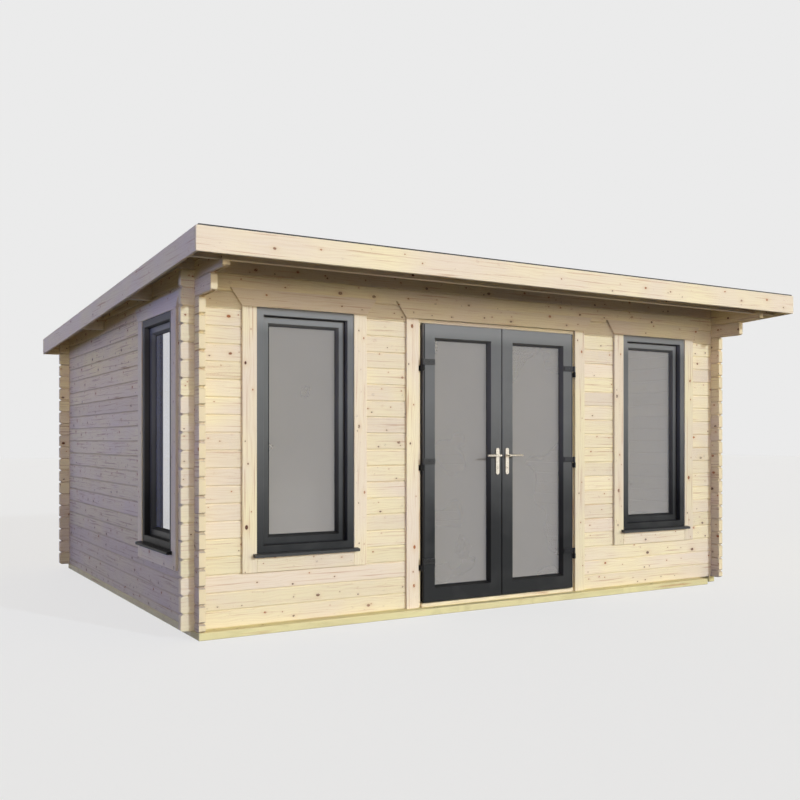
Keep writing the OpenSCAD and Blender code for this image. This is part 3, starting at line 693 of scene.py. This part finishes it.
def makeFeltLaps():
    sheet = (feltHigh[1] - feltLow[1]) / feltLook["sheets"]
    firstLap = feltLow[1] + sheet
    laps = feltLook["sheets"] - 1
    middle = (feltLow[0] + feltHigh[0]) / 2
    length = feltHigh[0] - feltLow[0] - 2 * feltLook["sideIn"]
    row = {"Boards": laps, "Start": (middle, firstLap, 0), "Step": (0, sheet, 0), "Finish": felt,
           "Board size": (length, feltLook["lapWide"], feltLook["lapThick"])}
    mesh = grownMesh("feltLaps", boardRow, row)
    for vert in mesh.vertices:
        vert.co.z += feltTop(vert.co.y)
    linkMesh("feltLaps", mesh, felt, "cabin")
    count = int(length / feltLook["nailStep"])
    points = []
    for lap in range(laps):
        y = firstLap + lap * sheet + feltLook["lapWide"] / 2 - feltLook["nailIn"]
        for nail in range(count):
            x = middle + (nail - (count - 1) / 2) * feltLook["nailStep"]
            points.append((x, y, feltTop(y) + feltLook["lapThick"] / 2 - feltLook["nailSunk"]))
    growStuds("feltNails", "cabin", feltLook["nail"], points, handleMetal)


easedPiece("roof_felt", "roofFelt", felt, feltLook["ease"], "cabin")
print("floor, roof boards and felt made")
makeFeltLaps()
print("felt laps made")


# Frames: an outline swept round a rectangle with mitred corners, points as (inset, depth)
def sweptFrame(outline, low, high, face, foot=1.0):
    corners = ((0, 0), (1, 0), (1, 1), (0, 1))
    verts = []
    for inset, depth in outline:
        for right, top in corners:
            x = high[0] - inset if right else low[0] + inset
            z = high[1] - inset if top else low[1] + inset * foot
            verts.append((x, face + depth, z))
    faces = []
    count = len(outline)
    for index in range(count):
        here = index * 4
        following = (index + 1) % count * 4
        for corner in range(4):
            beyond = (corner + 1) % 4
            faces.append((here + corner, here + beyond, following + beyond, following + corner))
    mesh = bpy.data.meshes.new("swept")
    mesh.from_pydata(verts, [], faces)
    shape = bmesh.new()
    shape.from_mesh(mesh)
    bmesh.ops.recalc_face_normals(shape, faces=shape.faces)
    shape.to_mesh(mesh)
    shape.free()
    return mesh


# A black seal lies against each pane, a lip wider than the glass that shows
sealLook = {"wide": 0.004, "deep": 0.003, "lip": 0.003}


def squareOutline(wide, deep):
    return (0, 0), (wide, 0), (wide, deep), (0, deep)


def paneSeal(paneLow, paneHigh, paneFace):
    lip = sealLook["lip"]
    deep = sealLook["deep"]
    low = (paneLow[0] - lip, paneLow[1] - lip)
    high = (paneHigh[0] + lip, paneHigh[1] + lip)
    return sweptFrame(squareOutline(sealLook["wide"], deep), low, high, paneFace - deep)


def glaze(node, material):
    nodes[node].data.materials.clear()
    nodes[node].data.materials.append(material)


# A side window is drawn as a front one and turned onto the left wall
def turnedToSide(mesh):
    mesh.transform(Matrix.Rotation(-math.pi / 2, 4, "Z"))


def flatBox(node, side):
    low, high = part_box(node)
    if side:
        return (-high[1], low[2]), (-low[1], high[2]), low[0], high[0]
    return (low[0], low[2]), (high[0], high[2]), low[1], high[1]


# The edge seal round each sash is partly a seal and partly painted shade of the gap
windowLook = {"bevel": 0.003, "frameGap": 0.0005, "bead": 0.017, "backBead": 0.012, "backLean": 0.004,
              "edgeSealAndShade": 0.007, "edgeSealAndShadeProud": 0.002, "sillEase": 0.002}


def makeWindow(place, side):
    bevel = windowLook["bevel"]
    low, high, face, back = flatBox(f"{place}_window_frame", side)
    sashLow, sashHigh, sashFace, sashBack = flatBox(f"{place}_window_sash", side)
    paneLow, paneHigh, paneFace, _ = flatBox(f"{place}_window_glass", side)
    # outer frame
    depth = back - face
    inset = sashLow[0] - low[0] - windowLook["frameGap"]
    frameOutline = ((0, bevel), (bevel, 0), (inset - bevel, 0), (inset, bevel), (inset, depth), (0, depth))
    frameMesh = sweptFrame(frameOutline, low, high, face)
    # sash with a sloped bead to the glass
    sashDepth = sashBack - sashFace
    sashInset = paneLow[0] - sashLow[0]
    inner = sashInset - sealLook["lip"]
    sashOutline = ((0, bevel), (bevel, 0), (sashInset - windowLook["bead"], 0), (inner, paneFace - sashFace),
                   (inner, sashDepth - windowLook["backLean"]),
                   (sashInset - windowLook["backBead"], sashDepth), (0, sashDepth))
    sashMesh = sweptFrame(sashOutline, sashLow, sashHigh, sashFace)
    # black seals: against the glass, and round the sash a ring that is partly its seal and partly painted
    # shade of the gap between frame and sash
    sealMesh = paneSeal(paneLow, paneHigh, paneFace)
    proud = windowLook["edgeSealAndShadeProud"]
    edgeSealAndShadeMesh = sweptFrame(squareOutline(windowLook["edgeSealAndShade"], proud), sashLow, sashHigh, sashFace - proud)
    if side:
        for mesh in (frameMesh, sashMesh, sealMesh, edgeSealAndShadeMesh):
            turnedToSide(mesh)
    outerFoil = paintedShadeSidePlastic if side else framePlastic
    linkMesh(place + "WindowFrame", frameMesh, outerFoil, "cabin", f"{place}_window_frame")
    linkMesh(place + "WindowSash", sashMesh, framePlastic, "cabin", f"{place}_window_sash")
    linkMesh(place + "WindowSeal", sealMesh, sealAndPaintedShadeBlack, "cabin")
    linkMesh(place + "WindowEdgeSealAndShade", edgeSealAndShadeMesh, sealAndPaintedShadeBlack, "cabin")
    sillFoil = paintedShadeSidePlastic if side else paintedLightSillPlastic
    easedPiece(f"{place}_window_sill", place + "WindowSill", sillFoil, windowLook["sillEase"], "cabin")
    glaze(f"{place}_window_glass", paintedReflectionSideGlass if side else glass)


for place in ("left", "right", "side"):
    makeWindow(place, place == "side")
print("windows made")


doorLook = {"bevel": 0.003, "bead": 0.017, "backBead": 0.014, "backLean": 0.016,
            "edgeFrom": 0.010, "edgeLean": 0.008, "stripIn": 0.0045, "stripOut": 0.0135, "stripProud": 0.0012,
            "hingeEase": 0.0012, "plateEase": 0.0015, "leverEase": 0.002}
fittingLook = {"armScrewsIn": 0.016, "armScrewStep": 0.034, "armProud": 0.0095, "armScrews": 2,
               "armScrew": {"radius": 0.0045, "height": 0.002}, "key": {"radius": 0.0085, "height": 0.004},
               "keyDrop": 0.092, "plateScrew": {"radius": 0.004, "height": 0.002}, "plateScrewIn": 0.012,
               "slotWide": 0.0016, "slotDeep": 0.001, "slotTall": 0.009, "slotProud": 0.0002}
outwards = (math.radians(90), 0, 0)
inwards = (math.radians(-90), 0, 0)


def makeHingeScrews(hand, body, face):
    inner = 1 if hand == "left" else -1
    screws = []
    for low, high in solidBoxes(f"{hand}_door_hinges"):
        tip = high.x if inner > 0 else low.x
        for number in range(fittingLook["armScrews"]):
            x = tip - inner * (fittingLook["armScrewsIn"] + number * fittingLook["armScrewStep"])
            screws.append((x, face - fittingLook["armProud"], (low.z + high.z) / 2))
    growStuds(hand + "HingeScrews", body, fittingLook["armScrew"], screws, hingeMetal, outwards)


# Key cylinders with their slots, and the screws of the plates, on both faces of a leaf
def makeKeys(hand, body):
    leverLow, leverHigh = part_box(f"{hand}_door_lever")
    plateLow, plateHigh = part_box(f"{hand}_door_plates")
    middle = (plateLow[0] + plateHigh[0]) / 2
    keyZ = (leverLow[2] + leverHigh[2]) / 2 - fittingLook["keyDrop"]
    screwHeights = (plateHigh[2] - fittingLook["plateScrewIn"], plateLow[2] + fittingLook["plateScrewIn"])
    # Painted shade: each key slot is a black block standing for the dark of the keyway
    slot = Matrix.Diagonal((fittingLook["slotWide"], fittingLook["slotDeep"], fittingLook["slotTall"], 1))
    slots = bmesh.new()
    for name, y, turn, away in (("Outer", plateLow[1], outwards, -1), ("Inner", plateHigh[1], inwards, 1)):
        growStuds(hand + name + "Key", body, fittingLook["key"], [(middle, y, keyZ)], handleMetal, turn)
        screws = [(middle, y, z) for z in screwHeights]
        growStuds(hand + name + "PlateScrews", body, fittingLook["plateScrew"], screws, handleMetal, turn)
        slotY = y + away * (fittingLook["key"]["height"] + fittingLook["slotProud"])
        bmesh.ops.create_cube(slots, size=1, matrix=Matrix.Translation((middle, slotY, keyZ)) @ slot)
    mesh = bpy.data.meshes.new("keySlots")
    slots.to_mesh(mesh)
    slots.free()
    linkMesh(hand + "KeySlots", mesh, sealAndPaintedShadeBlack, body)


# A black strip on the face of a leaf, along its hinge edge: painted shade standing for the shaded gap at that
# edge
def makeShadeStrip(hand, body, low, high, face):
    edge, inner = (low[0], 1) if hand == "left" else (high[0], -1)
    nearX, farX = sorted(edge + inner * doorLook[key] for key in ("stripIn", "stripOut"))
    bottom, top = low[1] + doorLook["bevel"], high[1] - doorLook["bevel"]
    shape = bmesh.new()
    bmesh.ops.create_cube(shape, size=1.0)
    for vert in shape.verts:
        x = nearX if vert.co.x < 0 else farX
        y = face - doorLook["stripProud"] if vert.co.y < 0 else face
        vert.co = (x, y, bottom if vert.co.z < 0 else top)
    mesh = bpy.data.meshes.new(hand + "DoorShadeStrip")
    shape.to_mesh(mesh)
    shape.free()
    linkMesh(hand + "DoorShadeStrip", mesh, sealAndPaintedShadeBlack, body)


def makeLeaf(hand):
    leaf = f"{hand}_door_leaf"
    body = f"{hand}_door"
    low, high, face, back = flatBox(leaf, False)
    paneLow, paneHigh, paneFace, _ = flatBox(f"{hand}_door_glass", False)
    stile = paneLow[0] - low[0]
    rail = paneLow[1] - low[1]
    depth = back - face
    bevel = doorLook["bevel"]
    inner = stile - sealLook["lip"]
    outline = ((0, bevel), (bevel, 0), (stile - doorLook["bead"], 0), (inner, paneFace - face),
               (inner, depth - doorLook["backLean"]), (stile - doorLook["backBead"], depth),
               (doorLook["edgeLean"], depth), (0, doorLook["edgeFrom"]))
    linkMesh(hand + "DoorLeaf", sweptFrame(outline, low, high, face, rail / stile), framePlastic, body, leaf)
    linkMesh(hand + "DoorSeal", paneSeal(paneLow, paneHigh, paneFace), sealAndPaintedShadeBlack, body)
    glaze(f"{hand}_door_glass", glass)
    easedPiece(f"{hand}_door_hinges", hand + "DoorHinges", hingeMetal, doorLook["hingeEase"], body, True)
    easedPiece(f"{hand}_door_plates", hand + "DoorPlates", handleMetal, doorLook["plateEase"], body, True)
    handle = f"{hand}_handle"
    easedPiece(f"{hand}_door_lever", hand + "DoorLever", handleMetal, doorLook["leverEase"], handle, True)
    makeShadeStrip(hand, body, low, high, face)
    makeHingeScrews(hand, body, face)
    makeKeys(hand, body)


for hand in ("left", "right"):
    makeLeaf(hand)
timberPiece("door_frame", pine, timber["boardEase"], timber["liningSeed"])
easedPiece("door_hinge_posts", "doorHingePosts", pinMetal, doorLook["hingeEase"], "cabin", True)
print("doors made")


# Floor, light and camera
studio = {
    "floorSize": 120.0, "floorDrop": 0.001, "floorColor": (0.80, 0.80, 0.80, 1), "floorRoughness": 0.9,
    "floorGlow": (0.95, 0.95, 0.95, 1), "glowShare": 0.7, "floorBounce": (0.012, 0.01, 0.008, 1),
    "backdrop": (0.83, 0.83, 0.83, 1), "warmSky": (3.75, 3.35, 2.55, 1), "coolSky": (0.42, 0.70, 2.4, 1),
    "coolSide": (-1.0, 0.0, 0.0), "coolRange": (0.35, 0.95), "skyTop": 0.08, "skyRange": (0.04, 0.42),
    "sunFrom": (0.43, -1.0, 0.326), "sunStrength": 1.7, "sunColor": (0.77, 0.88, 1.0), "sunSoftness": 1.5,
}
camera = {"place": (-4.2956, -7.4401, 1.2549), "turn": -30.68, "lens": 42.41, "sensor": 36.0, "shiftUp": 0.05}


# Rays that show the floor and sky as a backdrop: from the camera, in mirrors and through glass
def seenRays(tree):
    rays = tree.nodes.new("ShaderNodeLightPath")
    seen = calc(tree, "ADD", rays.outputs["Is Camera Ray"], rays.outputs["Is Glossy Ray"])
    return calc(tree, "ADD", seen, rays.outputs["Is Transmission Ray"], True)


def mixShaders(tree, amount, first, second, output):
    mix = tree.nodes.new("ShaderNodeMixShader")
    tree.links.new(amount, mix.inputs[0])
    tree.links.new(first.outputs[0], mix.inputs[1])
    tree.links.new(second.outputs[0], mix.inputs[2])
    tree.links.new(mix.outputs[0], tree.nodes[output].inputs["Surface"])


def makeFloor():
    half = studio["floorSize"] / 2
    corners = [(-half, -half, 0), (half, -half, 0), (half, half, 0), (-half, half, 0)]
    mesh = bpy.data.meshes.new("studioFloor")
    mesh.from_pydata(corners, [], [(0, 1, 2, 3)])
    material, tree, shader = newMaterial("paleFloor")
    shader.inputs["Roughness"].default_value = studio["floorRoughness"]
    seen = seenRays(tree)
    color = blendColor(tree, seen, studio["floorBounce"], studio["floorColor"])
    tree.links.new(color, shader.inputs["Base Color"])
    glow = tree.nodes.new("ShaderNodeEmission")
    glow.inputs["Color"].default_value = studio["floorGlow"]
    mixShaders(tree, scaled(tree, seen, studio["glowShare"]), shader, glow, "Material Output")
    mesh.materials.append(material)
    floor = bpy.data.objects.new("studioFloor", mesh)
    floor.location.z = -studio["floorDrop"]
    bpy.context.scene.collection.objects.link(floor)


def makeSun():
    lamp = bpy.data.lights.new("lowSun", "SUN")
    lamp.energy = studio["sunStrength"]
    lamp.color = studio["sunColor"]
    lamp.angle = math.radians(studio["sunSoftness"])
    sun = bpy.data.objects.new("lowSun", lamp)
    sun.rotation_euler = Vector(studio["sunFrom"]).to_track_quat("Z", "Y").to_euler()
    bpy.context.scene.collection.objects.link(sun)


# The sky is bright near the horizon, cool from one side and warm from the others
def makeSky():
    world = bpy.data.worlds.new("paleSky")
    bpy.context.scene.world = world
    world.use_nodes = True
    tree = world.node_tree
    sky = tree.nodes["Background"]
    way = tree.nodes.new("ShaderNodeTexCoord").outputs["Generated"]
    lean = tree.nodes.new("ShaderNodeVectorMath")
    lean.operation = "DOT_PRODUCT"
    tree.links.new(way, lean.inputs[0])
    lean.inputs[1].default_value = studio["coolSide"]
    cool = remap(tree, lean.outputs["Value"], *studio["coolRange"], 0.0, 1.0)
    tree.links.new(blendColor(tree, cool, studio["warmSky"], studio["coolSky"]), sky.inputs["Color"])
    strength = remap(tree, splitXyz(tree, way)["Z"], *studio["skyRange"], 1.0, studio["skyTop"])
    tree.links.new(strength, sky.inputs["Strength"])
    pale = tree.nodes.new("ShaderNodeBackground")
    pale.inputs["Color"].default_value = studio["backdrop"]
    mixShaders(tree, seenRays(tree), sky, pale, "World Output")


def makeCamera():
    lens = bpy.data.cameras.new("photoView")
    lens.lens = camera["lens"]
    lens.sensor_width = camera["sensor"]
    lens.shift_y = camera["shiftUp"]
    eye = bpy.data.objects.new("photoView", lens)
    eye.location = camera["place"]
    eye.rotation_euler = (math.radians(90), 0, math.radians(camera["turn"]))
    bpy.context.scene.collection.objects.link(eye)
    bpy.context.scene.camera = eye


makeFloor()
makeSun()
makeSky()
makeCamera()
bpy.context.scene.view_settings.view_transform = "Standard"
print("studio made")
